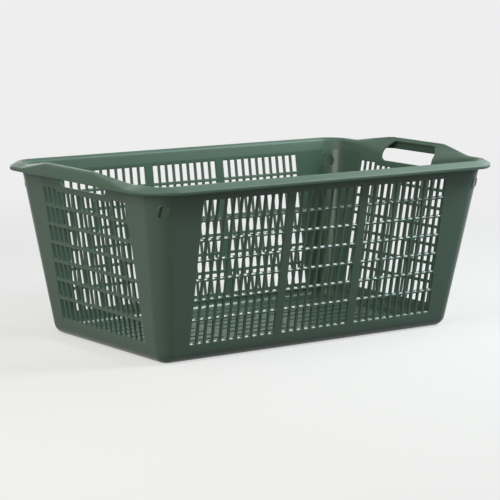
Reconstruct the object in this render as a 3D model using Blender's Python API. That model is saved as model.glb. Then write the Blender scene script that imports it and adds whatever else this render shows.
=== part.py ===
"""Openwork laundry basket, moulded in one piece from green polypropylene.

The real basket is a single moulding. It is built here as its named regions, each a closed solid of its
own with a hairline seam to the next: floor, bottom edges, slotted walls, corners, rim and two handles.

Metres, +Z up. X runs along the length, the front long wall faces -Y, and the origin is on the table,
under the middle of the basket. A section point is (reach, height): reach is measured outwards from the
outer face of the leaning wall at that height.
"""

import math

import bmesh
import bpy
from mathutils import Vector

# Overall sizes
RIM_LENGTH = 0.600
RIM_WIDTH = 0.378
RIM_HEIGHT = 0.2373
RIM_OVERHANG = 0.018
FLOOR_LENGTH = 0.488
FLOOR_WIDTH = 0.271
WALL = 0.0025
LATTICE_DEPTH = 0.0033
SEAM = 0.0003

# Bottom edge and upright corners
BOTTOM_RADIUS = 0.013
FLOOR_PLATE_RADIUS = 0.004
RIM_CORNER_RADIUS = 0.030
LONG_CORNER_FLAT = 0.0183
END_CORNER_FLAT = 0.0159

# Rim section: the wall turns over into a band that falls outwards to a short lip
RIM_FOOT = 0.0120
INNER_ROUNDING = 0.0053
BAND_FALL = 0.0048
LIP_ROUNDING = 0.0015
LIP_DEPTH = 0.0103
RIM_CORNER_FLAT = 0.0097
RIM_CORNER_EASE = 0.0033

# Raised handle in each end rim: a hollow grip, open below, over a hand hole
HANDLE_RISE = 0.0097
HANDLE_BULGE = 0.003
HANDLE_TOP_WIDTH = 0.106
HANDLE_LEAD = 0.002
GRIP_ROUNDING = 0.0040
GRIP_BAND_WIDTH = 0.0020
GRIP_FLANK_DEPTH = 0.0050
GRIP_FLANK_SLOPE = 0.0010
GRIP_LIP_DEPTH = 0.0165
GRIP_FOOT_HEIGHT = 0.008

# Hand hole
HOLE_DEPTH = 0.0330
HOLE_BOTTOM_WIDTH = 0.094
HOLE_WIDTH = 0.110
HOLE_TOP_WIDTH = 0.084
HOLE_CORNER_HEIGHT = 0.007
HOLE_SHOULDER_HEIGHT = 0.010
HOLE_SILL = 0.0026
GRIP_THICKNESS = 0.0050

# Slots of the long walls: three groups of columns between two plain separators
LONG_GROUPS = (11, 9, 11)
LONG_BAR_WIDTH = 0.00346
SEPARATOR = 0.01365
LONG_MARGIN = 0.0040
LONG_TOP_BAND = 0.0050

# Slots of the end walls: one group, its outer columns reaching higher beside the hand hole
END_GROUPS = (17,)
END_BAR_WIDTH = 0.00315
END_MARGIN = 0.0030
END_TOP_BAND = 0.0019
END_TALL_COLUMNS = 3
END_TALL_STEP = 0.0037

# Rows of slots, with ledges that fall outwards
ROWS = 7
BAR_DEPTH = 0.0046
LEDGE_DROP = 0.0030
SLOT_SILL = 0.0100
LONG_TOP_ROW = 0.0239
LONG_BOTTOM_ROW = 0.0326
END_TOP_ROW = 0.0188
END_BOTTOM_ROW = 0.0317

# Slots of the floor, in line with the three groups of the long walls
FLOOR_ROWS = 10
FLOOR_SLOT_WIDTH = 0.0060
FLOOR_SLOT_INSET = 0.0040
FLOOR_MARGIN = 0.0080

# Faces in a quarter turn, and the share of a quarter round at its middle
CORNER_STEPS = 4
ROUND_SHARE = math.cos(math.radians(45))
SMOOTH_ANGLE = math.radians(30)

# Reach of the cutters beyond what they cut
OVERRUN = 0.010

PLASTIC_COLOUR = (0.055, 0.120, 0.085, 1.0)
PLASTIC_ROUGHNESS = 0.42
PLASTIC_METALLIC = 0.0

# Heights and leans that follow from the sizes above
LIP_HEIGHT = RIM_HEIGHT - WALL / 2 - BAND_FALL - LIP_ROUNDING
LENGTH_LEAN = (RIM_LENGTH / 2 - RIM_OVERHANG - FLOOR_LENGTH / 2) / LIP_HEIGHT
WIDTH_LEAN = (RIM_WIDTH / 2 - RIM_OVERHANG - FLOOR_WIDTH / 2) / LIP_HEIGHT
FLOOR_CORNER_RADIUS = BOTTOM_RADIUS + FLOOR_PLATE_RADIUS
CORNER_GROWTH = (RIM_CORNER_RADIUS - FLOOR_CORNER_RADIUS) / RIM_HEIGHT
PANEL_BOTTOM = BOTTOM_RADIUS + WALL + SEAM
SLOT_BOTTOM = PANEL_BOTTOM + SLOT_SILL
RIM_JOINT_HEIGHT = RIM_HEIGHT - INNER_ROUNDING - RIM_FOOT
LONG_SLOT_TOP = RIM_JOINT_HEIGHT - LONG_TOP_BAND
HOLE_TOP = RIM_HEIGHT + HANDLE_RISE - GRIP_THICKNESS
HOLE_BOTTOM = RIM_HEIGHT + HANDLE_RISE - HOLE_DEPTH
HANDLE_JOINT_HEIGHT = HOLE_BOTTOM - HOLE_SILL
END_TALL_SLOT_TOP = HANDLE_JOINT_HEIGHT - SEAM - END_TOP_BAND
END_SLOT_TOP = END_TALL_SLOT_TOP - END_TALL_STEP
SIDES = (-1, 1)


def half_length(height):
    """Outer face of the end walls at a height."""
    return FLOOR_LENGTH / 2 + LENGTH_LEAN * height


def half_width(height):
    """Outer face of the long walls at a height."""
    return FLOOR_WIDTH / 2 + WIDTH_LEAN * height


def corner_radius(height):
    """Outer radius of the upright corners at a height."""
    return FLOOR_CORNER_RADIUS + CORNER_GROWTH * height


def slot_groups(counts, half, bar, separator):
    """Groups of slots that fill a wall from -half to half, each slot as its start and end."""
    slots_width = 2 * half - separator * (len(counts) - 1) + bar * len(counts)
    pitch = slots_width / sum(counts)
    groups = []
    start = -half
    for count in counts:
        groups.append([(start + index * pitch, start + (index + 1) * pitch - bar) for index in range(count)])
        start = groups[-1][-1][1] + separator
    return groups


# Joints along the walls and the rim
LONG_PANEL_HALF = half_length(0) - FLOOR_CORNER_RADIUS - LONG_CORNER_FLAT
END_PANEL_HALF = half_width(0) - FLOOR_CORNER_RADIUS - END_CORNER_FLAT
RIM_JOINT = half_length(RIM_JOINT_HEIGHT) - corner_radius(RIM_JOINT_HEIGHT) - SEAM
HANDLE_JOINT = half_width(RIM_JOINT_HEIGHT) - corner_radius(RIM_JOINT_HEIGHT) - RIM_CORNER_FLAT

LONG_SLOT_GROUPS = slot_groups(LONG_GROUPS, LONG_PANEL_HALF - LONG_MARGIN, LONG_BAR_WIDTH, SEPARATOR)
END_SLOT_GROUPS = slot_groups(END_GROUPS, END_PANEL_HALF - END_MARGIN, END_BAR_WIDTH, SEPARATOR)


def plastic(name):
    """Satin green polypropylene for one region."""
    material = bpy.data.materials.new(name)
    material.use_nodes = True
    shader = material.node_tree.nodes["Principled BSDF"]
    shader.inputs["Base Color"].default_value = PLASTIC_COLOUR
    shader.inputs["Roughness"].default_value = PLASTIC_ROUGHNESS
    shader.inputs["Metallic"].default_value = PLASTIC_METALLIC
    return material


def add_object(name, vertices, faces, is_cutter=False):
    """An object of its own from points and faces, with its faces turned outwards."""
    mesh = bpy.data.meshes.new(name)
    mesh.from_pydata(vertices, [], faces)
    shape = bmesh.new()
    shape.from_mesh(mesh)
    bmesh.ops.recalc_face_normals(shape, faces=shape.faces)
    shape.to_mesh(mesh)
    shape.free()
    piece = bpy.data.objects.new(name, mesh)
    bpy.context.collection.objects.link(piece)
    if is_cutter:
        piece.hide_render = True
        piece.display_type = "WIRE"
    else:
        mesh.materials.append(plastic(name + "_plastic"))
        mesh.shade_smooth()
        mesh.set_sharp_from_angle(angle=SMOOTH_ANGLE)
    return piece


def cut(piece, cutter):
    """Takes the cutter's space out of the piece."""
    modifier = piece.modifiers.new("cut", "BOOLEAN")
    modifier.operation = "DIFFERENCE"
    modifier.solver = "EXACT"
    modifier.object = cutter


def prism(outline, start, end, place):
    """Vertices and faces of a straight prism; place turns (u, v, depth) into a point."""
    count = len(outline)
    vertices = [place(u, v, start) for u, v in outline] + [place(u, v, end) for u, v in outline]
    faces = [tuple(range(count)), tuple(range(count, 2 * count))]
    for index in range(count):
        after = (index + 1) % count
        faces.append((index, after, count + after, count + index))
    return vertices, faces


def upright(x, y, z):
    """Places a prism's outline on the floor, its depth along Z."""
    return (x, y, z)


def along_length(y, z, x):
    """Places a prism's outline on an end wall, its depth along X."""
    return (x, y, z)


def skin_outline(line):
    """Closed outline of a wall whose middle follows a line of (reach, height) points."""
    first_side = []
    second_side = []
    for index, point in enumerate(line):
        steps = []
        if index > 0:
            steps.append((point - line[index - 1]).normalized())
        if index < len(line) - 1:
            steps.append((line[index + 1] - point).normalized())
        along = sum(steps, Vector((0, 0))).normalized()
        across = Vector((-along.y, along.x)) / along.dot(steps[0])
        first_side.append(point + across * WALL / 2)
        second_side.append(point - across * WALL / 2)
    return first_side + second_side[::-1]


def on_long_wall(side, x):
    """Places section points on a long wall at one x."""
    return lambda reach, height: (x, side * (half_width(height) + reach), height)


def on_end_wall(side, y):
    """Places section points on an end wall at one y."""
    return lambda reach, height: (side * (half_length(height) + reach), y, height)


def on_corner(side_x, side_y, angle):
    """Places section points on an upright corner, from the long wall at 0 to the end wall.

    What reaches out past the rim's inner rounding is drawn in, so that the rim turns on a wider round.
    """

    def place(reach, height):
        radius = corner_radius(height)
        if reach > INNER_ROUNDING:
            reach -= RIM_CORNER_EASE * math.sin(2 * angle) ** 2
        x = half_length(height) - radius + (radius + reach) * math.sin(angle)
        y = half_width(height) - radius + (radius + reach) * math.cos(angle)
        return (side_x * x, side_y * y, height)

    return place


def corner_turn(side_x, side_y):
    """Places round one corner, from the long wall to the end wall."""
    angles = [math.pi / 2 * step / CORNER_STEPS for step in range(CORNER_STEPS + 1)]
    return [on_corner(side_x, side_y, angle) for angle in angles]


def sweep(name, outlines, places):
    """A solid through one section outline at each place, closed at both ends."""
    count = len(outlines[0])
    vertices = []
    for outline, place in zip(outlines, places):
        vertices += [place(point.x, point.y) for point in outline]
    faces = [tuple(range(count)), tuple(range(len(vertices) - count, len(vertices)))]
    for ring in range(len(places) - 1):
        start = ring * count
        for index in range(count):
            after = (index + 1) % count
            faces.append((start + index, start + after, start + count + after, start + count + index))
    return add_object(name, vertices, faces)


def bottom_line(top_height):
    """Middle of the wall from the floor's edge round the bottom radius and up."""
    radius = BOTTOM_RADIUS - WALL / 2
    return [
        Vector((-BOTTOM_RADIUS, BOTTOM_RADIUS - radius)),
        Vector((-BOTTOM_RADIUS + radius * ROUND_SHARE, BOTTOM_RADIUS - radius * ROUND_SHARE)),
        Vector((-BOTTOM_RADIUS + radius, BOTTOM_RADIUS)),
        Vector((-WALL / 2, top_height)),
    ]


def rim_line(share, joint_height):
    """Middle of the wall from its joint through the inner rounding, the top band and the lip.

    The share is 0 on the plain rim and 1 on the handle's flat top.
    """

    def mix(plain, raised):
        return plain + (raised - plain) * share

    inner = -WALL / 2
    turn = INNER_ROUNDING - WALL / 2
    outer = RIM_OVERHANG + HANDLE_BULGE * share - WALL / 2
    top = RIM_HEIGHT + HANDLE_RISE * share - WALL / 2
    edge = top - mix(BAND_FALL, 0)
    rounding = mix(LIP_ROUNDING, GRIP_ROUNDING)
    band_end = outer - rounding
    band_start = mix(inner + turn, band_end - GRIP_BAND_WIDTH)
    foot = mix(RIM_HEIGHT - INNER_ROUNDING, HOLE_BOTTOM + GRIP_FOOT_HEIGHT)
    turn_middle = (
        mix(inner + turn * (1 - ROUND_SHARE), band_start - GRIP_FLANK_SLOPE),
        mix(foot + turn * ROUND_SHARE, top - GRIP_FLANK_DEPTH),
    )
    lip_bottom = top + WALL / 2 - mix(LIP_DEPTH, GRIP_LIP_DEPTH)
    return [
        Vector((inner, joint_height)),
        Vector((inner, foot)),
        Vector(turn_middle),
        Vector((band_start, top)),
        Vector((band_end, edge)),
        Vector((band_end + rounding * ROUND_SHARE, edge - rounding * (1 - ROUND_SHARE))),
        Vector((outer, edge - rounding)),
        Vector((outer + LENGTH_LEAN * (edge - rounding - lip_bottom), lip_bottom)),
    ]


def slot_rows(slot_top, top_row, bottom_row, drop):
    """Bottom and top of each row of slots, lowest first; the drop lowers each ledge."""
    lowest_bar = SLOT_BOTTOM + bottom_row
    pitch = (slot_top - top_row - lowest_bar) / (ROWS - 2)
    bar_tops = [lowest_bar + pitch * index for index in range(ROWS - 1)]
    bottoms = [SLOT_BOTTOM - drop] + [bar_top - drop for bar_top in bar_tops]
    tops = [bar_top - BAR_DEPTH for bar_top in bar_tops] + [slot_top]
    return list(zip(bottoms, tops))


def slotted_panel(name, groups, rows_at, half, top, place_at):
    """A wall panel with a window at each column and row; rows_at gives a column's rows for a drop."""
    columns = [column for group in groups for column in group]
    lines = [(-half, 0)]
    for index, (left, right) in enumerate(columns):
        lines += [(left, index), (right, index)]
    lines.append((half, len(columns) - 1))
    vertices = []
    for reach, drop in ((0, LEDGE_DROP), (-LATTICE_DEPTH, 0)):
        for line, column in lines:
            heights = [PANEL_BOTTOM]
            for row in rows_at(column, drop):
                heights += row
            heights.append(top)
            place = place_at(line)
            vertices += [place(reach, height) for height in heights]
    levels = 2 * ROWS + 2
    inner = len(lines) * levels
    faces = []
    for i in range(len(lines) - 1):
        for j in range(levels - 1):
            near = i * levels + j
            far = near + levels
            corners = (near, far, far + 1, near + 1)
            if i % 2 and j % 2:
                for index, corner in enumerate(corners):
                    after = corners[(index + 1) % len(corners)]
                    faces.append((corner, after, after + inner, corner + inner))
            else:
                faces += [corners, tuple(corner + inner for corner in corners)]
    border = [i * levels for i in range(len(lines))]
    border += [border[-1] + j for j in range(1, levels)]
    border += [i * levels + levels - 1 for i in reversed(range(len(lines) - 1))]
    border += list(reversed(range(1, levels - 1)))
    for index, corner in enumerate(border):
        after = border[(index + 1) % len(border)]
        faces.append((corner, after, after + inner, corner + inner))
    return add_object(name, vertices, faces)


def floor_cutter():
    """All slots of the floor as one cutter."""
    pitch = 2 * (half_width(0) - BOTTOM_RADIUS - FLOOR_MARGIN) / FLOOR_ROWS
    vertices = []
    faces = []
    for row in range(FLOOR_ROWS):
        middle = (row - (FLOOR_ROWS - 1) / 2) * pitch
        low = middle - FLOOR_SLOT_WIDTH / 2
        high = middle + FLOOR_SLOT_WIDTH / 2
        for group in LONG_SLOT_GROUPS:
            start = group[0][0] + FLOOR_SLOT_INSET
            end = group[-1][1] - FLOOR_SLOT_INSET
            outline = [(start, low), (end, low), (end, high), (start, high)]
            points, sides = prism(outline, -OVERRUN, WALL + OVERRUN, upright)
            faces += [tuple(index + len(vertices) for index in side) for side in sides]
            vertices += points
    return add_object("floor_slots", vertices, faces, is_cutter=True)


def make_floor():
    """Flat slotted floor inside the bottom radius."""
    outline = []
    for side_x, side_y in ((-1, -1), (1, -1), (1, 1), (-1, 1)):
        turn = [place(-BOTTOM_RADIUS - SEAM, 0) for place in corner_turn(side_x, side_y)]
        if side_x == side_y:
            turn.reverse()
        outline += [(x, y) for x, y, _ in turn]
    vertices, faces = prism(outline, 0, WALL, upright)
    cut(add_object("floor", vertices, faces), floor_cutter())


def make_bottom_edges():
    """Quarter-round edge between the floor and each wall."""
    outline = skin_outline(bottom_line(PANEL_BOTTOM - SEAM))
    for name, side in (("front", -1), ("back", 1)):
        places = [on_long_wall(side, end * LONG_PANEL_HALF) for end in SIDES]
        sweep(f"bottom_edge_{name}", [outline] * len(places), places)
    for name, side in (("left", -1), ("right", 1)):
        places = [on_end_wall(side, end * END_PANEL_HALF) for end in SIDES]
        sweep(f"bottom_edge_{name}", [outline] * len(places), places)


def make_long_walls():
    """Front and back wall, with three groups of slots."""

    def rows_at(column, drop):
        return slot_rows(LONG_SLOT_TOP, LONG_TOP_ROW, LONG_BOTTOM_ROW, drop)

    top = RIM_JOINT_HEIGHT - SEAM
    for name, side in (("front", -1), ("back", 1)):
        place_at = lambda x, side=side: on_long_wall(side, x)
        slotted_panel(f"{name}_wall", LONG_SLOT_GROUPS, rows_at, LONG_PANEL_HALF, top, place_at)


def make_end_walls():
    """Left and right wall; the columns in the middle stop lower, under the hand hole."""
    rows = slot_rows(END_SLOT_TOP, END_TOP_ROW, END_BOTTOM_ROW, 0)
    last = len(END_SLOT_GROUPS[0]) - 1

    def rows_at(column, drop):
        is_tall = min(column, last - column) < END_TALL_COLUMNS
        heights = [(bottom - drop, top) for bottom, top in rows]
        if is_tall:
            heights[-1] = (heights[-1][0], END_TALL_SLOT_TOP)
        return heights

    top = HANDLE_JOINT_HEIGHT - SEAM
    for name, side in (("left", -1), ("right", 1)):
        place_at = lambda y, side=side: on_end_wall(side, y)
        slotted_panel(f"{name}_wall", END_SLOT_GROUPS, rows_at, END_PANEL_HALF, top, place_at)


def make_corners():
    """Upright corners, and the rim that goes round them."""
    wall_outline = skin_outline(bottom_line(RIM_JOINT_HEIGHT - SEAM))
    rim_outline = skin_outline(rim_line(0, RIM_JOINT_HEIGHT))
    for side_y, front in ((-1, "front"), (1, "back")):
        for side_x, left in ((-1, "left"), (1, "right")):
            turn = corner_turn(side_x, side_y)
            long_end = on_long_wall(side_y, side_x * (LONG_PANEL_HALF + SEAM))
            short_end = on_end_wall(side_x, side_y * (END_PANEL_HALF + SEAM))
            places = [long_end] + turn + [short_end]
            sweep(f"corner_{front}_{left}", [wall_outline] * len(places), places)
            places = turn + [on_end_wall(side_x, side_y * (HANDLE_JOINT + SEAM))]
            sweep(f"rim_corner_{front}_{left}", [rim_outline] * len(places), places)


def make_long_rims():
    """Straight rim along each long wall."""
    outline = skin_outline(rim_line(0, RIM_JOINT_HEIGHT))
    for name, side in (("front", -1), ("back", 1)):
        places = [on_long_wall(side, end * RIM_JOINT) for end in SIDES]
        sweep(f"rim_{name}", [outline] * len(places), places)


def hand_hole_outline():
    """Hand hole: flat bottom, rounded lower corners, shoulders that slope in to a flat top."""
    corner = (HOLE_WIDTH - HOLE_BOTTOM_WIDTH) / 2
    half = [
        (HOLE_BOTTOM_WIDTH / 2, HOLE_BOTTOM),
        (HOLE_BOTTOM_WIDTH / 2 + corner * ROUND_SHARE, HOLE_BOTTOM + HOLE_CORNER_HEIGHT * (1 - ROUND_SHARE)),
        (HOLE_WIDTH / 2, HOLE_BOTTOM + HOLE_CORNER_HEIGHT),
        (HOLE_WIDTH / 2, HOLE_TOP - HOLE_SHOULDER_HEIGHT),
        (HOLE_TOP_WIDTH / 2, HOLE_TOP),
    ]
    return half + [(-y, z) for y, z in half[::-1]]


def wing_outline(side_y):
    """Space beside the end wall's panel, under the handle's wing, where the corner stands."""
    near = side_y * END_PANEL_HALF
    far = side_y * (HANDLE_JOINT + OVERRUN)
    low = HANDLE_JOINT_HEIGHT - OVERRUN
    return [(near, low), (far, low), (far, RIM_JOINT_HEIGHT), (near, RIM_JOINT_HEIGHT)]


def make_handles():
    """Raised end rims with a hollow grip over a hand hole."""
    foot = HANDLE_JOINT - HANDLE_LEAD
    crown = HANDLE_TOP_WIDTH / 2
    stations = [(-HANDLE_JOINT, 0), (-foot, 0), (-crown, 1), (crown, 1), (foot, 0), (HANDLE_JOINT, 0)]
    outlines = [skin_outline(rim_line(share, HANDLE_JOINT_HEIGHT)) for _, share in stations]
    band_middle = RIM_OVERHANG + HANDLE_BULGE - WALL / 2 - GRIP_ROUNDING - GRIP_BAND_WIDTH / 2
    for name, side in (("left", -1), ("right", 1)):
        handle = sweep(f"{name}_handle", outlines, [on_end_wall(side, y) for y, _ in stations])
        inside = side * (half_length(HOLE_BOTTOM) - WALL - OVERRUN)
        under_grip = side * (half_length(HOLE_TOP) + band_middle)
        vertices, faces = prism(hand_hole_outline(), inside, under_grip, along_length)
        cut(handle, add_object(f"{name}_hand_hole", vertices, faces, is_cutter=True))
        outside = side * (half_length(RIM_HEIGHT) + OVERRUN)
        for end, side_y in (("front", -1), ("back", 1)):
            vertices, faces = prism(wing_outline(side_y), inside, outside, along_length)
            cut(handle, add_object(f"{name}_wing_{end}", vertices, faces, is_cutter=True))


def main():
    for old in list(bpy.data.objects):
        bpy.data.objects.remove(old, do_unlink=True)
    make_floor()
    make_bottom_edges()
    make_long_walls()
    make_end_walls()
    make_corners()
    make_long_rims()
    make_handles()


main()
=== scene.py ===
"""Openwork laundry basket in green polypropylene, dressed for the studio.

The real basket is one moulding. Each region of it that the packed model holds gets a finer piece of the
same name here: slotted walls with rounded windows, upright corners, a rim with a turned-down lip, two
raised handles, quarter-round bottom edges and a slotted floor. Neighbouring regions share their joint
lines exactly, so no seam shows. Everything is in metres, in the frame of the packed model.

A section point is (reach, height): reach is measured outwards from the outer face of the leaning wall
at that height.
"""

import math

import bmesh
import bpy
from bpy.props import FloatProperty, FloatVectorProperty, IntProperty, PointerProperty
from mathutils import Matrix, Vector


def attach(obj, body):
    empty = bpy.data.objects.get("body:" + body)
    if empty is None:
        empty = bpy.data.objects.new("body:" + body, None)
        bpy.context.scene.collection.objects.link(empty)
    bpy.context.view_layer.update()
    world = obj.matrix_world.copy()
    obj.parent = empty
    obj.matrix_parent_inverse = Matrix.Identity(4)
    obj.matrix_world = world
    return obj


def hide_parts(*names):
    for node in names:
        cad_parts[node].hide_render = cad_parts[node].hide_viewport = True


bl_info = {
    "name": "Openwork Basket",
    "version": (1, 0, 0),
    "blender": (4, 5, 0),
    "location": "3D View > Sidebar > Basket",
    "description": "Builds an openwork laundry basket over its packed model, and its studio",
    "category": "Object",
}

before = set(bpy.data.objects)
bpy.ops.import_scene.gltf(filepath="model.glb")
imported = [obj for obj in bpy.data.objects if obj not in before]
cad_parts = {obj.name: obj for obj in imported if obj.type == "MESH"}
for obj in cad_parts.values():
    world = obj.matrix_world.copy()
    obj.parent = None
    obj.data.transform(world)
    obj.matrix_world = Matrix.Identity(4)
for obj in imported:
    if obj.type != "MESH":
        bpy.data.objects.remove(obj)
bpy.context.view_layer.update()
LONG_WALLS = {"front": -1, "back": 1}
END_WALLS = {"left": -1, "right": 1}
CORNERS = [(f"{front}_{left}", x, y) for front, y in LONG_WALLS.items() for left, x in END_WALLS.items()]

# Steps of the rounded shapes, and of the handle's section and half length
BOTTOM_STEPS = 8
RISING_STEPS = 14
LIP_STEPS = 6
END_STEPS = 4
WINDOW_CORNER_STEPS = 2
FLOOR_CORNER_STEPS = 8
SLOT_END_STEPS = 8
RIM_CORNER_STEPS = 16
MARKED_CORNER_STEPS = 120
BELOW_HOLE_STEPS = 2
HOLE_STEPS = 6
FLANK_STEPS = 8
LEVEL_STATIONS = 4
HOLE_CORNER_STATIONS = 4
WING_STATIONS = 8
FOOT_STATIONS = 9

# Forms and tolerances of the shapes
MARK_BAND = 1.5  # Levels that carry a mark, in its radii to both sides of its centre
MARK_REACH = 2  # Farthest that a vertex of a mark lies from its centre, in its radii
SHOULDER_POWER = 1.6  # Form of the hand hole's upper corners, 1 for straight
ROUND_PROFILE = 0.5
HOLE_SEGMENTS = 3
SLOT_SEGMENTS = 2
SHARP_ANGLE = math.radians(50)  # Faces that meet at more than this aren't shaded as one
FLAT_ANGLE = math.radians(1)  # Faces of the cut floor that meet at less than this become one
RIM_ANGLE = math.radians(60)  # Faces of the cut floor that meet at more than this are rounded
HALF_CORNER = math.radians(45)
BLOCK_WELD = 3  # Distance at which the blocks of a panel are welded, in the welds of its windows
MATCH = 0.00005  # Vertices on the two faces of a panel count as opposite within this distance
FLOOR_BORDER = 0.001  # Edges nearer than this to the border of the floor stay sharp
ABOVE_HOLE = 0.0001  # Points of the flank nearer than this above the hand hole are left out

# Looks
FLOW_DETAIL = 3
FLOW_DISTORTION = 0.6
GRAIN_DETAIL = 2
PLASTIC_IOR = 1.49
ROUGHNESS_CHANGE = {"wall": 0.10, "rim": 0.06, "floor": 0.12}

# Studio, each lamp with its place, its size and its tint
SENSOR_WIDTH = 36
VIEW_DEPTH = 200
LAMP_TARGET = (0, 0, 0.12)
LAMPS = {
    "left": ((-1.90, -0.60, 0.95), 1.6, (1.0, 0.94, 0.80)),
    "right": ((2.20, 0.20, 1.30), 1.7, (0.93, 1.0, 0.98)),
    "ledge": ((0.96, -0.77, 1.20), 0.50, (0.88, 1.0, 1.0)),
    "top": ((-0.90, -0.35, 2.00), 1.2, (1.0, 1.0, 0.97)),
    "front": ((1.00, -0.50, 0.60), 0.50, (0.88, 1.0, 1.0)),
    "back": ((0.80, 2.40, 0.90), 2.0, (1.0, 1.0, 1.0)),
}


def number(name, description, default, **limits):
    """A number with the limits, unit or subtype that are given."""
    return FloatProperty(name=name, description=description, default=default, **limits)


def length(name, description, default):
    """A size of the basket, in metres."""
    return number(name, description, default, min=0, precision=5, unit="LENGTH")


def share(name, description, default):
    """A share between nothing and all."""
    return number(name, description, default, min=0, max=1, subtype="FACTOR")


def degrees(name, description, default):
    """An angle, given here in degrees."""
    return number(name, description, math.radians(default), subtype="ANGLE")


def watts(name, description, default):
    """The power of a lamp, in watts."""
    return number(name, description, default, min=0, unit="POWER")


def count(name, description, default, smallest):
    """A number of like things."""
    return IntProperty(name=name, description=description, default=default, min=smallest)


def vector(name, description, default, **limits):
    """Three numbers with the limits, unit or subtype that are given."""
    return FloatVectorProperty(name=name, description=description, default=default, **limits)


def colour(name, description, default):
    """A linear colour."""
    return vector(name, description, default, min=0, max=1, subtype="COLOR")


class BasketBody(bpy.types.PropertyGroup):
    """Overall sizes of the moulding."""

    rim_length: length("Rim length", "Outer length of the plain rim", 0.600)
    rim_width: length("Rim width", "Outer width of the rim", 0.378)
    rim_height: length("Rim height", "Top of the plain rim above the table", 0.2373)
    overhang: length("Rim overhang", "How far the rim stands out from the wall", 0.018)
    floor_length: length("Floor length", "Length of the wall's outer face, carried down to the table", 0.488)
    floor_width: length("Floor width", "Width of the wall's outer face, carried down to the table", 0.271)
    wall: length("Wall", "Thickness of the moulding", 0.0025)
    seam: length("Seam", "Gap between two regions of the packed model", 0.0003)
    bottom_radius: length("Bottom radius", "Rounding between floor and walls", 0.013)
    floor_plate_radius: length("Floor plate radius", "Corner radius of the flat of the floor", 0.004)
    rim_corner_radius: length("Corner radius", "Radius of the wall's corners at the rim", 0.030)
    long_corner_flat: length("Long corner flat", "Plain strip between a long panel and the corner", 0.0183)
    end_corner_flat: length("End corner flat", "Plain strip between an end panel and the corner", 0.0159)


class BasketRim(bpy.types.PropertyGroup):
    """Sizes of the rim's section."""

    foot: length("Foot", "Straight wall between the rim's joint and its inner rounding", 0.0120)
    inner_rounding: length("Inner rounding", "Rounding between the wall's inside and the top band", 0.0053)
    band_fall: length("Band fall", "How far the top band falls outwards", 0.0048)
    lip_rounding: length("Lip rounding", "Rounding between the top band and the lip", 0.0015)
    lip_depth: length("Lip depth", "Lower edge of the lip below the top", 0.0103)
    corner_flat: length("Rim corner flat", "Straight rim between a corner and the handle", 0.0097)
    corner_ease: length("Corner ease", "How far the rim is drawn in at the middle of a corner", 0.0033)


class BasketHandle(bpy.types.PropertyGroup):
    """Sizes of the raised handle and its hand hole."""

    rise: length("Rise", "How far the handle stands above the rim", 0.0097)
    bulge: length("Bulge", "How far the handle stands out beyond the rim", 0.003)
    bulge_start: length("Bulge start", "Half the width over which the handle bulges", 0.118)
    bulge_full: length("Bulge full", "Half the width over which the bulge is full", 0.076)
    top_width: length("Top width", "Width of the handle's level top", 0.106)
    lead: length("Lead", "Plain rim at each end of the handle", 0.002)
    rounding: length("Grip rounding", "Rounding between the grip's top and its skirt", 0.0040)
    band_width: length("Grip band", "Flat part on top of the grip", 0.0020)
    lip_depth: length("Skirt depth", "Lower edge of the grip's skirt below its top", 0.0178)
    lip_start: length("Skirt start", "Half the width over which the lip's lower edge rises", 0.098)
    lip_full: length("Skirt full", "Half the width over which it is level again", 0.056)
    spread: length("Skirt spread", "How far the skirt stands out at its lower edge", 0.0015)
    foot_height: length("Foot height", "Straight wall between the hole's bottom and the flank", 0.008)
    ease: share("Ease", "Share of the handle's slope that is rounded at each end", 0.10)
    flank_pull: share("Flank pull", "How far the flank's lower end follows the wall", 0.30)
    flank_lift: share("Flank lift", "How steeply the flank comes up to the grip", 0.22)
    flank_run: share("Flank run", "How far inwards the flank's upper end is drawn", 0.12)
    hole_depth: length("Hole depth", "Bottom of the hole below the handle's top", 0.0330)
    hole_bottom_width: length("Hole bottom width", "Level part of the hole's bottom", 0.094)
    hole_width: length("Hole width", "Widest part of the hole", 0.110)
    hole_top_width: length("Hole top width", "Level part of the hole's top", 0.084)
    hole_corner: length("Hole corner height", "Height of the hole's lower corners", 0.007)
    hole_shoulder: length("Hole shoulder height", "Height of the hole's upper corners", 0.012)
    hole_sill: length("Hole sill", "Wall between the hole and the joint below it", 0.0026)
    grip_thickness: length("Grip thickness", "Top of the grip above the hole", 0.0050)
    edge_rounding: length("Hole edge rounding", "Rounding of the hole's edges", 0.0006)


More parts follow.
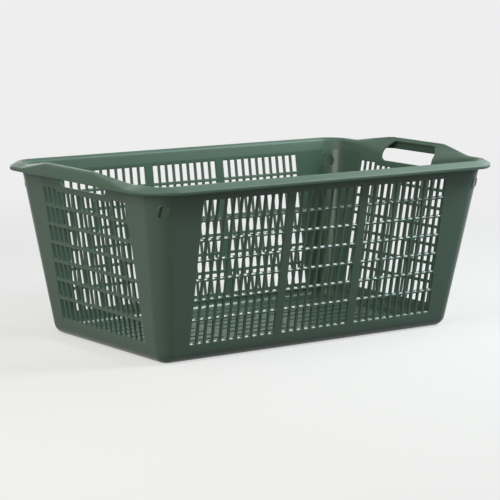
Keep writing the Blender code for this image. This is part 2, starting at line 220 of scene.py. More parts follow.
class BasketLattice(bpy.types.PropertyGroup):
    """Sizes of the windows in the walls and in the floor."""

    outer_columns: count("Outer columns", "Columns in a long wall's outer groups", 11, 2)
    middle_columns: count("Middle columns", "Columns in a long wall's middle group", 9, 2)
    depth: length("Lattice depth", "Depth of the bars, from the wall's outer face inwards", 0.0033)
    long_bar: length("Long wall bar", "Width of an upright bar in a long wall", 0.00346)
    separator: length("Separator", "Width of the plain strip between two groups", 0.01365)
    long_margin: length("Long margin", "Plain strip at the ends of a long panel", 0.0040)
    long_top_band: length("Long top band", "Plain strip above a long wall's windows", 0.0050)
    end_columns: count("End columns", "Columns in an end wall", 17, 7)
    end_bar: length("End wall bar", "Width of an upright bar in an end wall", 0.00315)
    end_margin: length("End margin", "Plain strip at the ends of an end panel", 0.0030)
    end_top_band: length("End top band", "Plain strip above an end wall's tall windows", 0.0019)
    tall_columns: count("Tall columns", "Columns beside the hand hole that reach higher", 3, 1)
    tall_step: length("Tall step", "How much higher those columns reach", 0.0037)
    rows: count("Rows", "Rows of windows", 7, 3)
    bar_depth: length("Bar height", "Height of a level bar on its inner face", 0.0046)
    ledge_drop: length("Ledge drop", "How far a bar's top falls outwards", 0.0030)
    nose_depth: length("Nose depth", "Depth of the steeper outer part of a bar's top", 0.00225)
    nose_start: length("Nose start", "How far a bar's top falls before its steeper part", 0.0003)
    sill: length("Sill", "Wall below the lowest windows", 0.0100)
    long_top_row: length("Long top row", "Top of the highest bar below the windows' top, long walls", 0.0239)
    long_bottom_row: length("Long bottom row", "Top of the lowest bar above the sill, long walls", 0.0326)
    end_top_row: length("End top row", "Top of the highest bar below the windows' top, end walls", 0.0188)
    end_bottom_row: length("End bottom row", "Top of the lowest bar above the sill, end walls", 0.0317)
    corner: length("Window corner", "Radius of a window's corners", 0.0008)
    outer_rounding: length("Outer rounding", "Rounding of a window's outer edge", 0.0006)
    inner_rounding: length("Inner rounding", "Rounding of a window's inner edge", 0.0003)
    weld: length("Weld", "Distance at which copies of a window are welded", 0.00001)
    floor_rows: count("Floor rows", "Rows of slots in the floor", 10, 2)
    floor_slot: length("Floor slot width", "Width of a slot in the floor", 0.0060)
    floor_inset: length("Floor slot inset", "How far a floor slot stops short of the columns' edge", 0.0040)
    floor_margin: length("Floor margin", "Plain strip along the long sides of the floor", 0.0080)
    floor_rounding: length("Floor slot rounding", "Rounding of a floor slot's edges", 0.0004)


class BasketMark(bpy.types.PropertyGroup):
    """The bare flat round on each corner, with a leaning groove in it."""

    height: length("Mark height", "Centre of the mark above the table", 0.2045)
    angle: degrees("Mark angle", "Turn of the mark round the corner, from the long wall", 30.2)
    radius: length("Mark radius", "Radius of the mark", 0.0089)
    edge: length("Mark edge", "Width of the sloping edges", 0.0006)
    rise: length("Mark rise", "How far the flat round stands out of the corner in its middle", 0.0004)
    groove_place: length("Groove place", "Middle of the groove beside the mark's centre", 0.0034)
    groove_width: length("Groove width", "Width of the groove", 0.0032)
    groove_length: length("Groove length", "Height of the groove", 0.0140)
    groove_lean: share("Groove lean", "Sideways run of the groove over its height", 0.2)
    groove_depth: length("Groove depth", "Depth of the groove", 0.0034)
    spacing: length("Mark spacing", "Distance between the levels that carry the mark", 0.0004)


class BasketFinish(bpy.types.PropertyGroup):
    """Colours and gloss of the plastic."""

    tint: colour("Plastic colour", "Colour of the moulded plastic", (0.045, 0.083, 0.0625))
    shade: colour("Flow colour", "Colour of faint darker flow marks in the plastic", (0.0395, 0.073, 0.055))
    gloss: share("Gloss level", "Strength of the reflections, 0.5 for a bare smooth face", 0.27)
    wall_roughness: share("Wall roughness", "Roughness of the walls", 0.24)
    rim_roughness: share("Rim roughness", "Roughness of the rim", 0.48)
    floor_roughness: share("Floor roughness", "Roughness of the floor", 0.45)
    grain_height: length("Grain height", "Depth of the plastic's fine grain", 0.00003)
    grain_size: length("Grain size", "Distance between two grains", 0.0009)
    flow_size: length("Flow size", "Distance between two flow marks", 0.060)


class BasketStudio(bpy.types.PropertyGroup):
    """Camera, lamps and floor of the studio."""

    camera_place: vector(
        "Camera place", "Where the camera stands", (-1.8027, -2.3913, 0.5934), unit="LENGTH"
    )
    azimuth: degrees("Azimuth", "Direction the camera looks in", -36.94)
    elevation: degrees("Elevation", "How far the camera looks down", 9.15)
    roll: degrees("Roll", "Turn of the camera about its view", 0.57)
    lens: number("Lens", "Focal length in millimetres on a 36 mm sensor", 157.06, unit="CAMERA")
    backdrop: colour("Backdrop", "Colour that is seen behind the basket", (0.855, 0.855, 0.855))
    floor: colour("Floor colour", "Colour of the studio floor round the basket", (0.535, 0.535, 0.535))
    floor_bounce: colour("Floor bounce", "Colour in which the floor throws light back", (0.12, 0.12, 0.12))
    floor_plain: share("Floor plainness", "Share of plain backdrop in the floor round the basket", 0.68)
    floor_size: length("Floor size", "Half the studio floor", 30.0)
    floor_near: length("Floor near", "Distance up to which the floor takes shadows", 0.60)
    floor_far: length("Floor far", "Distance past which the floor is plain backdrop", 1.60)
    world: share("World light", "Level of the light from all round", 0.05)
    left_power: watts("Left lamp", "Power of the warm lamp on the left", 46.0)
    right_power: watts("Right lamp", "Power of the lamp on the right", 32.0)
    ledge_power: watts("Ledge lamp", "Power of the small high lamp", 27.0)
    top_power: watts("Top lamp", "Power of the lamp overhead", 20.0)
    front_power: watts("Front lamp", "Power of the low lamp in front", 4.5)
    back_power: watts("Back lamp", "Power of the lamp behind", 19.0)


class Form:
    """Faces, leans and joints that follow from the sizes."""

    def __init__(self, scene):
        self.body = body = scene.basket_body
        self.rim = rim = scene.basket_rim
        self.handle = handle = scene.basket_handle
        self.lattice = lattice = scene.basket_lattice
        self.mark = scene.basket_mark
        wall = body.wall
        lip_height = body.rim_height - wall / 2 - rim.band_fall - rim.lip_rounding
        self.length_lean = (body.rim_length / 2 - body.overhang - body.floor_length / 2) / lip_height
        self.width_lean = (body.rim_width / 2 - body.overhang - body.floor_width / 2) / lip_height
        self.floor_corner_radius = body.bottom_radius + body.floor_plate_radius
        self.corner_growth = (body.rim_corner_radius - self.floor_corner_radius) / body.rim_height
        self.panel_bottom = body.bottom_radius + wall + body.seam
        self.slot_bottom = self.panel_bottom + lattice.sill
        self.rim_joint_height = body.rim_height - rim.inner_rounding - rim.foot
        self.long_slot_top = self.rim_joint_height - lattice.long_top_band
        handle_top = body.rim_height + handle.rise
        self.hole_top = handle_top - handle.grip_thickness
        self.hole_bottom = handle_top - handle.hole_depth
        self.handle_joint_height = self.hole_bottom - handle.hole_sill
        self.end_tall_top = self.handle_joint_height - body.seam - lattice.end_top_band
        self.end_slot_top = self.end_tall_top - lattice.tall_step
        self.long_panel_half = self.half_length(0) - self.floor_corner_radius - body.long_corner_flat
        self.end_panel_half = self.half_width(0) - self.floor_corner_radius - body.end_corner_flat
        joint_radius = self.corner_radius(self.rim_joint_height)
        self.rim_joint = self.half_length(self.rim_joint_height) - joint_radius
        self.handle_joint = self.half_width(self.rim_joint_height) - joint_radius - rim.corner_flat
        counts = (lattice.outer_columns, lattice.middle_columns, lattice.outer_columns)
        long_half = self.long_panel_half - lattice.long_margin
        self.long_groups = slot_groups(counts, long_half, lattice.long_bar, lattice.separator)
        end_half = self.end_panel_half - lattice.end_margin
        self.end_groups = slot_groups((lattice.end_columns,), end_half, lattice.end_bar, lattice.separator)

    def half_length(self, height):
        """Half the distance between the end walls' outer faces."""
        return self.body.floor_length / 2 + self.length_lean * height

    def half_width(self, height):
        """Half the distance between the long walls' outer faces."""
        return self.body.floor_width / 2 + self.width_lean * height

    def corner_radius(self, height):
        """Radius of a corner's outer face."""
        return self.floor_corner_radius + self.corner_growth * height

    def on_long_wall(self, side, x):
        """Places section points on a long wall at one x."""
        return lambda reach, height: (x, side * (self.half_width(height) + reach), height)

    def on_end_wall(self, side, y):
        """Places section points on an end wall at one y."""
        return lambda reach, height: (side * (self.half_length(height) + reach), y, height)

    def on_corner(self, side_x, side_y, angle):
        """Places section points on an upright corner, from the long wall at 0 to the end wall.

        What reaches out past the rim's inner rounding is drawn in, so that the rim turns on a wider round.
        """
        rim = self.rim

        def place(reach, height):
            radius = self.corner_radius(height)
            drawn = min(max(reach / rim.inner_rounding - 1, 0), 1)
            reach -= rim.corner_ease * math.sin(2 * angle) ** 2 * drawn
            x = self.half_length(height) - radius + (radius + reach) * math.sin(angle)
            y = self.half_width(height) - radius + (radius + reach) * math.cos(angle)
            return (side_x * x, side_y * y, height)

        return place


def slot_groups(counts, half, bar, separator):
    """Groups of slots that fill a wall from -half to half, each slot as its start and end."""
    slots_width = 2 * half - separator * (len(counts) - 1) + bar * len(counts)
    pitch = slots_width / sum(counts)
    groups = []
    start = -half
    for count in counts:
        groups.append([(start + index * pitch, start + (index + 1) * pitch - bar) for index in range(count)])
        start = groups[-1][-1][1] + separator
    return groups


# Shaders of the plastic


def feed(tree, node, inputs):
    """Links each named input of a node to a socket, or sets its value."""
    for name, value in inputs.items():
        if isinstance(value, bpy.types.NodeSocket):
            tree.links.new(value, node.inputs[name])
        else:
            node.inputs[name].default_value = value


def put(tree, kind, place, inputs=None, **values):
    """Adds a node at a place of the node editor, with the inputs and values that are named."""
    node = tree.nodes.new(kind)
    node.location = place
    for name, value in values.items():
        setattr(node, name, value)
    feed(tree, node, inputs or {})
    return node


def new_group(name, kind, inputs, outputs):
    """A node group with named sockets: its tree, the sockets that it is given, and its output node."""
    tree = bpy.data.node_groups.new(name, kind)
    for in_out, sockets in (("INPUT", inputs), ("OUTPUT", outputs)):
        for socket, socket_kind in sockets.items():
            tree.interface.new_socket(socket, in_out=in_out, socket_type=f"NodeSocket{socket_kind}")
    given = put(tree, "NodeGroupInput", (-1000, 0)).outputs
    return tree, given, put(tree, "NodeGroupOutput", (1000, 0))


def moulded_surface_group():
    """Shader group with the flow marks, the gloss and the fine grain of moulded plastic."""
    name = "Moulded surface"
    if name in bpy.data.node_groups:
        return bpy.data.node_groups[name]
    inputs = dict.fromkeys(("Tint", "Shade"), "Color")
    numbers = ("Flow size", "Roughness", "Roughness change", "Grain size", "Grain height")
    inputs |= dict.fromkeys(numbers, "Float")
    outputs = {"Color": "Color", "Roughness": "Float", "Normal": "Vector"}
    tree, given, result = new_group(name, "ShaderNodeTree", inputs, outputs)
    place = put(tree, "ShaderNodeTexCoord", (-900, -300)).outputs["Object"]

    def noise(size, row, **settings):
        """Noise whose patches have a size, on the piece's own coordinates."""
        scale = put(tree, "ShaderNodeMath", (-700, row), {0: 1, 1: size}, operation="DIVIDE")
        inputs = {"Scale": scale.outputs[0], "Vector": place, **settings}
        return put(tree, "ShaderNodeTexNoise", (-500, row), inputs).outputs["Fac"]

    flow = noise(given["Flow size"], 200, Detail=FLOW_DETAIL, Distortion=FLOW_DISTORTION)
    grain = noise(given["Grain size"], -200, Detail=GRAIN_DETAIL)
    inputs = {"Factor": flow, "A": given["Tint"], "B": given["Shade"]}
    colours = put(tree, "ShaderNodeMix", (100, 300), inputs, data_type="RGBA")
    centred = put(tree, "ShaderNodeMath", (-250, 0), {0: flow, 1: 0.5}, operation="SUBTRACT")
    inputs = {0: centred.outputs[0], 1: given["Roughness change"], 2: given["Roughness"]}
    roughness = put(tree, "ShaderNodeMath", (-50, 0), inputs, operation="MULTIPLY_ADD")
    inputs = {"Height": grain, "Distance": given["Grain height"], "Strength": 1}
    bump = put(tree, "ShaderNodeBump", (100, -200), inputs)
    inputs = {"Color": colours.outputs["Result"], "Roughness": roughness.outputs[0]}
    inputs["Normal"] = bump.outputs["Normal"]
    feed(tree, result, inputs)
    return tree


def plastic(scene, part):
    """Green polypropylene of the wall, the rim or the floor, each with a gloss of its own."""
    name = part + "_polypropylene"
    if name in bpy.data.materials:
        return bpy.data.materials[name]
    finish = scene.basket_finish
    material = bpy.data.materials.new(name)
    material.use_nodes = True
    tree = material.node_tree
    values = {
        "Tint": (*finish.tint, 1),
        "Shade": (*finish.shade, 1),
        "Flow size": finish.flow_size,
        "Roughness": getattr(finish, part + "_roughness"),
        "Roughness change": ROUGHNESS_CHANGE[part],
        "Grain size": finish.grain_size,
        "Grain height": finish.grain_height,
    }
    surface = put(tree, "ShaderNodeGroup", (-300, 300), node_tree=moulded_surface_group())
    feed(tree, surface, values)
    shader = tree.nodes["Principled BSDF"]
    feed(tree, shader, {"IOR": PLASTIC_IOR, "Specular IOR Level": finish.gloss, "Metallic": 0})
    for output, socket in (("Color", "Base Color"), ("Roughness", "Roughness"), ("Normal", "Normal")):
        tree.links.new(surface.outputs[output], shader.inputs[socket])
    return material


# Meshes


def add_object(context, name, data):
    """Puts a mesh, a light or a camera into the scene."""
    result = bpy.data.objects.new(name, data)
    context.collection.objects.link(result)
    return result


def object_of(context, name, shell):
    """Turns a shell into an object whose faces point outwards."""
    bmesh.ops.recalc_face_normals(shell, faces=shell.faces)
    mesh = bpy.data.meshes.new(name)
    shell.to_mesh(mesh)
    shell.free()
    return add_object(context, name, mesh)


def make_piece(context, name, shell, part, node):
    """Turns a closed shell into a piece of a part's plastic that stands for a node of the packed model."""
    piece = object_of(context, name, shell)
    piece.data.materials.clear()  # Also puts every face of the lattice back on the first slot
    piece.data.materials.append(plastic(context.scene, part))
    piece.data.shade_smooth()
    piece.data.set_sharp_from_angle(angle=SHARP_ANGLE)
    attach(piece, "root")
    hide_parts(node)


def bridge(shell, before, after):
    """Closes the band between two rings that have as many points."""
    for index in range(len(before)):
        follows = (index + 1) % len(before)
        shell.faces.new((before[index], before[follows], after[follows], after[index]))


def loft(outlines):
    """A closed shell through outlines that have as many points."""
    shell = bmesh.new()
    rings = [[shell.verts.new(point) for point in outline] for outline in outlines]
    for before, after in zip(rings, rings[1:]):
        bridge(shell, before, after)
    shell.faces.new(rings[0])
    shell.faces.new(rings[-1])
    return shell


def sweep(outline, places):
    """A closed shell through one outline of section points at each place."""
    return loft([[place(point.x, point.y) for point in outline] for place in places])


def prism(outline, low, high):
    """A closed upright prism over an outline of (x, y) points."""
    return loft([[(x, y, z) for x, y in outline] for z in (low, high)])


def round_edges(shell, edges, radius, segments, is_clamped):
    """Rounds the edges of a shell."""
    bmesh.ops.bevel(
        shell,
        geom=list(edges),
        offset=radius,
        segments=segments,
        profile=ROUND_PROFILE,
        affect="EDGES",
        clamp_overlap=is_clamped,
    )


def arc(centre, radius, start, end, steps):
    """Points along an arc about a centre, its angles in degrees from +reach towards +height."""
    points = []
    for step in range(steps + 1):
        turn = math.radians(start + (end - start) * step / steps)
        points.append(Vector((centre[0] + radius * math.cos(turn), centre[1] + radius * math.sin(turn))))
    return points


def curve(start, start_pull, end_pull, end, steps):
    """Points along a curve that leaves its start and reaches its end towards their pulls."""
    points = []
    for step in range(steps + 1):
        t = step / steps
        s = 1 - t
        points.append(start * s**3 + start_pull * 3 * s * s * t + end_pull * 3 * s * t * t + end * t**3)
    return points


def skins(line, wall):
    """Inner and outer side of a wall whose middle follows a line of section points."""
    steps = [(after - before).normalized() for before, after in zip(line, line[1:])]
    inner = []
    outer = []
    for point, before, after in zip(line, steps[:1] + steps, steps + steps[-1:]):
        along = (before + after).normalized()
        across = Vector((-along.y, along.x)) / along.dot(before)
        inner.append(point + across * wall / 2)
        outer.append(point - across * wall / 2)
    return inner, outer


def round_end(line, wall):
    """Half round between the two sides of a wall at the end of its line."""
    along = (line[-1] - line[-2]).normalized()
    across = Vector((-along.y, along.x))
    points = []
    for step in range(1, END_STEPS):
        turn = math.pi * step / END_STEPS
        points.append(line[-1] + (across * math.cos(turn) + along * math.sin(turn)) * wall / 2)
    return points


def closed_outline(line, wall, is_round=False):
    """Closed outline of a wall along a line, its end rounded where the wall ends free."""
    inner, outer = skins(line, wall)
    return inner + (round_end(line, wall) if is_round else []) + outer[::-1]


def bottom_line(form):
    """Middle of the wall from the floor's edge round the bottom radius and up to the panels' foot."""
    body = form.body
    radius = body.bottom_radius
    line = arc((-radius, radius), radius - body.wall / 2, -90, 0, BOTTOM_STEPS)
    return line + [Vector((-body.wall / 2, form.panel_bottom))]


def plain_rim_line(form):
    """Middle of the plain rim's wall: its inner rounding, and its lip from the band's outer end."""
    body = form.body
    rim = form.rim
    inner = -body.wall / 2
    turn = rim.inner_rounding - body.wall / 2
    outer = body.overhang - body.wall / 2
    top = body.rim_height - body.wall / 2
    edge = top - rim.band_fall
    rounding = rim.lip_rounding
    fall = math.degrees(math.atan2(rim.band_fall, outer - rounding - inner - turn))
    rising = arc((inner + turn, top - turn), turn, 180, 90 - fall, RISING_STEPS)
    lip_bottom = body.rim_height - rim.lip_depth
    lip_reach = outer + form.length_lean * (edge - rounding - lip_bottom)
    lip = arc((outer - rounding, edge - rounding), rounding, 90 - fall, 0, LIP_STEPS)
    return rising, lip + [Vector((lip_reach, lip_bottom + body.wall / 2))]


def grip_line(form, bulged):
    """Middle of the grip's wall on the handle's level top: its flank, and its skirt from the band's end."""
    body = form.body
    handle = form.handle
    inner = -body.wall / 2
    outer = body.overhang + handle.bulge * bulged - body.wall / 2
    top = body.rim_height + handle.rise - body.wall / 2
    rounding = handle.rounding
    band_end = outer - rounding
    band_start = band_end - handle.band_width
    foot = form.hole_bottom + handle.foot_height
    rise = top - foot
    foot_pull = Vector((inner, foot + rise * handle.flank_pull))
    top_pull = Vector((band_start - (band_start - inner) * handle.flank_run, top - rise * handle.flank_lift))
    flank = curve(Vector((inner, foot)), foot_pull, top_pull, Vector((band_start, top)), RISING_STEPS)
    skirt_bottom = body.rim_height + handle.rise - handle.lip_depth
    skirt_reach = outer + form.length_lean * (top - rounding - skirt_bottom) + handle.spread
    skirt = arc((band_end, top - rounding), rounding, 90, 0, LIP_STEPS)
    return flank, skirt + [Vector((skirt_reach, skirt_bottom + body.wall / 2))]


def rim_line(form, raised, bulged, lifted):
    """Middle of the rim's wall between the plain rim and the grip, as its rising part and its lip.

    Each share is 0 on the plain rim and 1 on the handle's level top: of the rise, of the bulge and of the
    lift of the lower edge.
    """
    plain_rising, plain_lip = plain_rim_line(form)
    flank, skirt = grip_line(form, bulged)
    rising = [plain.lerp(grip, raised) for plain, grip in zip(plain_rising, flank)]
    lip = [plain.lerp(grip, raised) for plain, grip in zip(plain_lip, skirt)]
    lip[-1].y = plain_lip[-1].y + (skirt[-1].y - plain_lip[-1].y) * lifted
    return rising, lip


# Windows of the walls


def window_ring(half, low, high, radius):
    """Rounded rectangle of (along, height) points, from its lower left corner round."""
    side = half - radius
    points = []
    for along, height, start in (
        (-side, low + radius, 180),
        (side, low + radius, 270),
        (side, high - radius, 0),
        (-side, high - radius, 90),
    ):
        points += arc((along, height), radius, start, start + 90, WINDOW_CORNER_STEPS)
    return points


def ledge_fall(lattice, reach):
    """How far a bar's top lies below its inner edge: a flatter inner part, then a steeper nose."""
    if reach > -lattice.nose_depth:
        return lattice.ledge_drop + (lattice.ledge_drop - lattice.nose_start) * reach / lattice.nose_depth
    return lattice.nose_start * (lattice.depth + reach) / (lattice.depth - lattice.nose_depth)


def add_frame(shell, ring, reach, width, height):
    """Flat faces between a window's ring and the middles of the bars round it."""
    outline = ((-width / 2, 0), (width / 2, 0), (width / 2, height), (-width / 2, height))
    corners = [shell.verts.new((along, reach, z)) for along, z in outline]
    quarter = len(ring) // 4
    turned = ring[quarter // 2 :] + ring[: quarter // 2 + 1]
    for index, corner in enumerate(corners):
        stretch = turned[index * quarter : (index + 1) * quarter + 1]
        shell.faces.new([corner, corners[(index + 1) % 4]] + stretch[::-1])


def window_object(context, form, width, height, half, low, high):
    """One window with its share of the bars round it, in wall coordinates (along, reach, height)."""
    lattice = form.lattice
    wall = lattice.depth
    turn = 1 - math.cos(HALF_CORNER)
    outer = lattice.outer_rounding
    inner = lattice.inner_rounding
    support = inner / 2
    steps = (
        (0, outer),
        (-outer * turn, outer * turn),
        (-outer, 0),
        (-outer - support, 0),
        (support - lattice.nose_depth, 0),
        (-lattice.nose_depth, 0),
        (-support - lattice.nose_depth, 0),
        (inner - wall, 0),
        (inner * turn - wall, inner * turn),
        (-wall, inner),
    )
    shell = bmesh.new()
    rings = []
    for reach, grow in steps:
        drop = ledge_fall(lattice, reach)
        ring = window_ring(half + grow, low - drop - grow, high + grow, lattice.corner + grow)
        rings.append([shell.verts.new((along, reach, z)) for along, z in ring])
    for before, after in zip(rings, rings[1:]):
        bridge(shell, before, after)
    add_frame(shell, rings[0], 0, width, height)
    add_frame(shell, rings[-1], -wall, width, height)
    return object_of(context, "window", shell)


def lattice_tree():
    """Geometry nodes that repeat one window over columns and rows and weld the copies."""
    name = "Slot lattice"
    if name in bpy.data.node_groups:
        return bpy.data.node_groups[name]
    inputs = {"Window": "Object", "Columns": "Int", "Rows": "Int", "Finish": "Material"}
    inputs |= dict.fromkeys(("Column pitch", "First column", "Row pitch", "First row", "Weld"), "Float")
    tree, given, result = new_group(name, "GeometryNodeTree", inputs, {"Geometry": "Geometry"})
    tree.is_modifier = True

    def line(row, number, start, offset):
        """Points in a line, from a start and by an offset, each as its x and z."""
        inputs = {"Count": number}
        for level, (socket, parts) in enumerate({"Start Location": start, "Offset": offset}.items()):
            xyz = put(tree, "ShaderNodeCombineXYZ", (-800, row - 150 * level), parts)
            inputs[socket] = xyz.outputs["Vector"]
        return put(tree, "GeometryNodeMeshLine", (-600, row), inputs).outputs["Mesh"]

    def instances(place, points, instance):
        """Copies of a shape on points, made real."""
        inputs = {"Points": points, "Instance": instance}
        copies = put(tree, "GeometryNodeInstanceOnPoints", place, inputs).outputs["Instances"]
        real_place = (place[0] + 200, place[1])
        return put(tree, "GeometryNodeRealizeInstances", real_place, {"Geometry": copies}).outputs["Geometry"]

    first = {"X": given["First column"], "Z": given["First row"]}
    columns = line(200, given["Columns"], first, {"X": given["Column pitch"]})
    rows = line(-150, given["Rows"], {}, {"Z": given["Row pitch"]})
    places = instances((-350, 100), columns, rows)
    window = put(tree, "GeometryNodeObjectInfo", (-350, -200), {"Object": given["Window"]})
    block = instances((50, 0), places, window.outputs["Geometry"])
    inputs = {"Geometry": block, "Distance": given["Weld"]}
    welded = put(tree, "GeometryNodeMergeByDistance", (450, 0), inputs).outputs["Geometry"]
    inputs = {"Geometry": welded, "Material": given["Finish"]}
    finish = put(tree, "GeometryNodeSetMaterial", (650, 0), inputs).outputs["Geometry"]
    feed(tree, result, {"Geometry": finish})
    return tree


def repeated(context, form, window, part, columns, rows):
    """Mesh of a block of equal windows, from the number, pitch and first place of its columns and rows."""
    tree = lattice_tree()
    values = {"Window": window, "Weld": form.lattice.weld, "Finish": plastic(context.scene, part)}
    values |= zip(("Columns", "Column pitch", "First column"), columns)
    values |= zip(("Rows", "Row pitch", "First row"), rows)
    carrier = add_object(context, "lattice_block", bpy.data.meshes.new("lattice_block"))
    modifier = carrier.modifiers.new("Slot lattice", "NODES")
    modifier.node_group = tree
    for item in tree.interface.items_tree:
        if item.in_out == "INPUT":
            modifier[item.identifier] = values[item.name]
    graph = context.evaluated_depsgraph_get()
    mesh = bpy.data.meshes.new_from_object(carrier.evaluated_get(graph))
    carrier.modifiers.remove(modifier)
    bpy.data.objects.remove(carrier)
    bpy.data.objects.remove(window)
    return mesh


def slot_rows(form, slot_top, top_row, bottom_row):
    """Bottom and top of each row of windows on the inner face, lowest first."""
    lattice = form.lattice
    lowest_bar = form.slot_bottom + bottom_row
    pitch = (slot_top - top_row - lowest_bar) / (lattice.rows - 2)
    bar_tops = [lowest_bar + pitch * index for index in range(lattice.rows - 1)]
    bottoms = [form.slot_bottom] + bar_tops
    tops = [bar_top - lattice.bar_depth for bar_top in bar_tops] + [slot_top]
    return list(zip(bottoms, tops))


def close_border(shell, wall):
    """Joins the outer and inner border of a panel, whose vertices lie opposite each other."""

    def key(vert):
        return (round(vert.co.x / MATCH), round(vert.co.z / MATCH))

    border = [edge for edge in shell.edges if edge.is_boundary]
    inner_side = {key(vert): vert for edge in border for vert in edge.verts if vert.co.y < -wall / 2}
    for edge in border:
        first, second = edge.verts
        if first.co.y > -wall / 2:
            shell.faces.new((first, second, inner_side[key(second)], inner_side[key(first)]))


def slotted_panel(context, form, groups, rows, top, half, tall_top=None):
    """A welded panel of windows in wall coordinates, as a closed shell."""
    lattice = form.lattice
    last = len(rows) - 1
    tall = lattice.tall_columns
    middle_of_bar = (lattice.bar_depth + lattice.ledge_drop) / 2
    levels = [form.panel_bottom] + [bottom - middle_of_bar for bottom, _ in rows[1:]] + [top]
    pitch = groups[0][1][0] - groups[0][0][0]
    half_slot = (groups[0][0][1] - groups[0][0][0]) / 2
    shell = bmesh.new()

    def add_block(columns, row, number, slot_top):
        """A block of columns over a number of equal rows."""
        level = levels[row]
        height = levels[row + 1] - level
        low = rows[row][0] - level
        window = window_object(context, form, pitch, height, half_slot, low, slot_top - level)
        across = (len(columns), pitch, sum(columns[0]) / 2)
        block = repeated(context, form, window, "wall", across, (number, height, level))
        shell.from_mesh(block)
        bpy.data.meshes.remove(block)

    def add_strip(left, right):
        """A plain strip on both faces, with the blocks' levels."""
        for reach in (0, -lattice.depth):
            for low, high in zip(levels, levels[1:]):
                corners = ((left, low), (right, low), (right, high), (left, high))
                shell.faces.new([shell.verts.new((along, reach, z)) for along, z in corners])

    edge = -half
    for group in groups:
        left = sum(group[0]) / 2 - pitch / 2
        add_strip(edge, left)
        edge = sum(group[-1]) / 2 + pitch / 2
        add_block(group, 0, 1, rows[0][1])
        add_block(group, 1, last - 1, rows[1][1])
        if tall_top is None:
            add_block(group, last, 1, rows[last][1])
        else:
            add_block(group[:tall], last, 1, tall_top)
            add_block(group[tall:-tall], last, 1, rows[last][1])
            add_block(group[-tall:], last, 1, tall_top)
    add_strip(edge, half)
    bmesh.ops.remove_doubles(shell, verts=shell.verts, dist=lattice.weld * BLOCK_WELD)
    close_border(shell, lattice.depth)
    return shell


def stand_panels(context, panel, walls, on_wall):
    """Puts a panel on each of two opposite walls."""
    for name, side in walls.items():
        shell = panel.copy()
        for vert in shell.verts:
            along, reach, height = vert.co
            vert.co = on_wall(side, along)(reach, height)
        make_piece(context, f"{name}_wall_lattice", shell, "wall", f"{name}_wall")
    panel.free()


def make_long_walls(context):
    """Front and back wall, with three groups of windows."""
    form = Form(context.scene)
    lattice = form.lattice
    rows = slot_rows(form, form.long_slot_top, lattice.long_top_row, lattice.long_bottom_row)
    panel = slotted_panel(context, form, form.long_groups, rows, form.rim_joint_height, form.long_panel_half)
    stand_panels(context, panel, LONG_WALLS, form.on_long_wall)


def make_end_walls(context):
    """Left and right wall; the columns in the middle stop lower, under the hand hole."""
    form = Form(context.scene)
    lattice = form.lattice
    rows = slot_rows(form, form.end_slot_top, lattice.end_top_row, lattice.end_bottom_row)
    top = form.handle_joint_height
    panel = slotted_panel(context, form, form.end_groups, rows, top, form.end_panel_half, form.end_tall_top)
    stand_panels(context, panel, END_WALLS, form.on_end_wall)


# Corners, bottom edges and rim


def corner_turn(form, side_x, side_y, steps):
    """Places round one corner, from the long wall to the end wall."""
    return [form.on_corner(side_x, side_y, math.pi / 2 * step / steps) for step in range(steps + 1)]


def sweep_corner(form, outline, side_x, side_y, steps, long_half, end_half):
    """A shell from a place on the long wall round one corner to a place on the end wall."""
    start = form.on_long_wall(side_y, side_x * long_half)
    end = form.on_end_wall(side_x, side_y * end_half)
    return sweep(outline, [start] + corner_turn(form, side_x, side_y, steps) + [end])


def step_down(distance, edge):
    """Smooth step from 0 to 1 over an edge, from the distance inside it."""
    t = min(max(distance / edge, 0), 1)
    return t * t * (3 - 2 * t)


def shape_mark(form, shell, side_x, side_y):
    """Raises the mark's flat round on a corner, and presses the groove into it."""
    mark = form.mark
    radius = form.corner_radius(mark.height)
    farthest = MARK_REACH * mark.radius
    centre = Vector(form.on_corner(side_x, side_y, mark.angle)(0, mark.height))
    outward = Vector((side_x * math.sin(mark.angle), side_y * math.cos(mark.angle), 0))
    across = Vector((side_x * math.cos(mark.angle), -side_y * math.sin(mark.angle), 0))
    for vert in shell.verts:
        offset = vert.co - centre
        if abs(offset.z) > farthest or offset.dot(outward) < -farthest:
            continue
        along = offset.dot(across)
        inside_round = mark.radius - math.hypot(along, offset.z)
        beside_groove = mark.groove_width / 2 - abs(along - mark.groove_place + mark.groove_lean * offset.z)
        inside_groove = min(beside_groove, mark.groove_length / 2 - abs(offset.z))
        sag = radius - math.sqrt(max(radius * radius - along * along, 0))
        raised = (mark.rise + sag) * step_down(inside_round, mark.edge)
        raised -= mark.groove_depth * step_down(inside_groove, mark.edge)
        vert.co += outward * raised


def make_corners(context):
    """Upright corners with their round marks."""
    form = Form(context.scene)
    mark = form.mark
    line = bottom_line(form)
    reach = line[-1].x
    height = mark.height - MARK_BAND * mark.radius
    while height < mark.height + MARK_BAND * mark.radius:
        line.append(Vector((reach, height)))
        height += mark.spacing
    line.append(Vector((reach, form.rim_joint_height)))
    outline = closed_outline(line, form.body.wall)
    halves = (form.long_panel_half, form.end_panel_half)
    for name, side_x, side_y in CORNERS:
        shell = sweep_corner(form, outline, side_x, side_y, MARKED_CORNER_STEPS, *halves)
        shape_mark(form, shell, side_x, side_y)
        make_piece(context, f"corner_{name}_upright", shell, "wall", f"corner_{name}")


def make_bottom_edges(context):
    """Quarter-round edges between the floor and the walls."""
    form = Form(context.scene)
    outline = closed_outline(bottom_line(form), form.body.wall)
    long_walls = (LONG_WALLS, form.on_long_wall, form.long_panel_half)
    end_walls = (END_WALLS, form.on_end_wall, form.end_panel_half)
    for walls, on_wall, half in (long_walls, end_walls):
        for name, side in walls.items():
            shell = sweep(outline, [on_wall(side, -half), on_wall(side, half)])
            make_piece(context, f"{name}_bottom_rounding", shell, "wall", f"bottom_edge_{name}")


